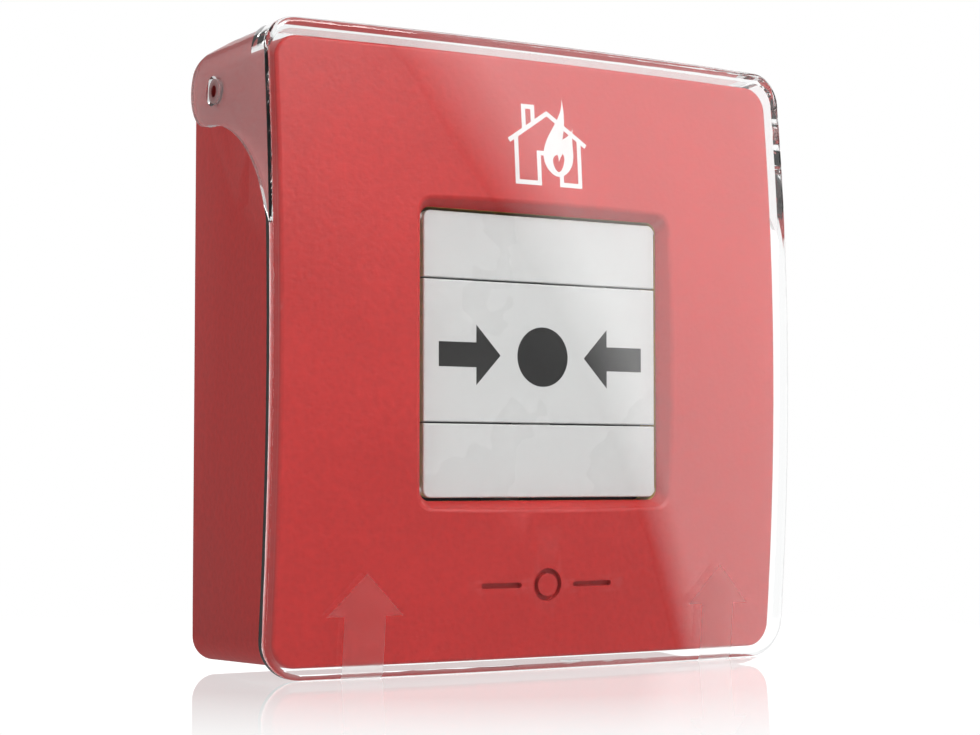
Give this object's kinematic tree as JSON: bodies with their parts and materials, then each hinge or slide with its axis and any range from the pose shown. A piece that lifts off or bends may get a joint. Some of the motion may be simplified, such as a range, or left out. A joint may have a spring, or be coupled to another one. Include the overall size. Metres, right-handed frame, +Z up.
{
  "type": "manual call point",
  "caption": "Square wall-mounted fire alarm call point: red pillow-front housing, white resettable call plate in hinged panels, and a clear lid that swings up.",
  "frame": {"origin": "centre of the wall face, at the crossing of the wall-hole pattern's middle lines", "axes": "+X to the right seen from the front, +Y into the wall, +Z up; the front faces -Y"},
  "size_m": [0.125, 0.0446, 0.1279],
  "materials": {
    "housing_red": "fine spark-eroded grain, moulded-in red",
    "lid_clear": "clear glossy polycarbonate",
    "frosted_film": "frosted translucent texture",
    "sign_white": "satin white print",
    "plate_white": "smooth satin white",
    "symbol_black": "smooth black",
    "pin_red": "glossy dark red",
    "marker_yellow": "satin yellow",
    "inner_black": "matt black",
    "carrier_white": "satin acetal",
    "spring_steel": "bright wire",
    "screw_steel": "zinc plated",
    "board_green": "solder resist",
    "shield_steel": "tinned",
    "brass": "bare",
    "cell_wrap": "shrink sleeve",
    "panel_grey": "matt grey"
  },
  "bodies": {
    "casing": {"housing": "housing_red", "burning_house_sign": "sign_white", "hinge_pin_left": "pin_red", "hinge_pin_right": "pin_red", "guide_pins": "screw_steel", "plate_springs": "spring_steel", "marker_frame": "marker_yellow", "mechanism_chassis": "inner_black", "chassis_screws": "screw_steel", "detent_springs": "spring_steel", "key_bush": "inner_black", "reset_spring": "spring_steel", "switch_body": "inner_black", "circuit_board": "board_green", "board_screws": "screw_steel", "board_chips": "inner_black", "radio_module": "shield_steel", "antenna": "brass", "antenna_foot": "inner_black", "battery_left": "cell_wrap", "battery_right": "cell_wrap", "battery_holder_left": "inner_black", "battery_holder_right": "inner_black", "battery_contacts": "shield_steel", "tamper_switch": "inner_black", "power_switch": "inner_black", "mounting_panel": "panel_grey", "cover_screws": "screw_steel"},
    "lid": {"protective_lid": "lid_clear", "lift_arrows": "frosted_film"},
    "call_element": {"call_plate": "plate_white", "arrows_and_dot": "symbol_black", "plate_carrier": "carrier_white"},
    "upper_flap_body": {"upper_flap": "plate_white"},
    "lower_flap_body": {"lower_flap": "plate_white"},
    "reset_cam_body": {"reset_cam": "carrier_white"},
    "switch_lever_body": {"switch_lever": "spring_steel"},
    "switch_plunger_body": {"switch_plunger": "pin_red"},
    "tamper_plunger_body": {"tamper_plunger": "carrier_white"},
    "power_button_body": {"power_button": "carrier_white"}
  },
  "joints": [
    {"name": "lid_swing", "type": "hinge", "parent": "casing", "child": "lid", "pos_m": [0, -0.0128, 0.0531], "axis": [-1, 0, 0], "range_deg": [0, 90]},
    {"name": "plate_press", "type": "slide", "parent": "casing", "child": "call_element", "axis": [0, 1, 0], "range_m": [0, 0.004], "stiffness_N_per_m": 400, "deforming": ["plate_springs"]},
    {"name": "upper_flap_tilt", "type": "hinge", "parent": "casing", "child": "upper_flap_body", "pos_m": [0, -0.0357, 0.0273], "axis": [1, 0, 0], "range_deg": [0, 19.1]},
    {"name": "lower_flap_tilt", "type": "hinge", "parent": "casing", "child": "lower_flap_body", "pos_m": [0, -0.0357, -0.0273], "axis": [-1, 0, 0], "range_deg": [0, 17.1]},
    {"name": "reset_cam_turn", "type": "hinge", "parent": "casing", "child": "reset_cam_body", "pos_m": [0, -0.0206, -0.04], "axis": [0, 0, -1], "range_deg": [0, 90], "stiffness_Nm_per_rad": 0.02},
    {"name": "switch_lever_tilt", "type": "hinge", "parent": "casing", "child": "switch_lever_body", "pos_m": [0.025, -0.0159, 0.0205], "axis": [0, 0, -1], "range_deg": [0, 18.4]},
    {"name": "switch_plunger_travel", "type": "slide", "parent": "casing", "child": "switch_plunger_body", "axis": [0, 1, 0], "range_m": [0, 0.001]},
    {"name": "tamper_plunger_travel", "type": "slide", "parent": "casing", "child": "tamper_plunger_body", "axis": [0, -1, 0], "range_m": [0, 0.0012], "stiffness_N_per_m": 300},
    {"name": "power_button_travel", "type": "slide", "parent": "casing", "child": "power_button_body", "axis": [0, -1, 0], "range_m": [0, 0.0008], "stiffness_N_per_m": 400}
  ],
  "couplings": [
    {"joint": "upper_flap_tilt", "follows": "plate_press", "rad_per_m": 83.1},
    {"joint": "lower_flap_tilt", "follows": "plate_press", "rad_per_m": 74.4},
    {"joint": "switch_lever_tilt", "follows": "plate_press", "rad_per_m": 80},
    {"joint": "switch_plunger_travel", "follows": "plate_press", "ratio": 0.25}
  ]
}
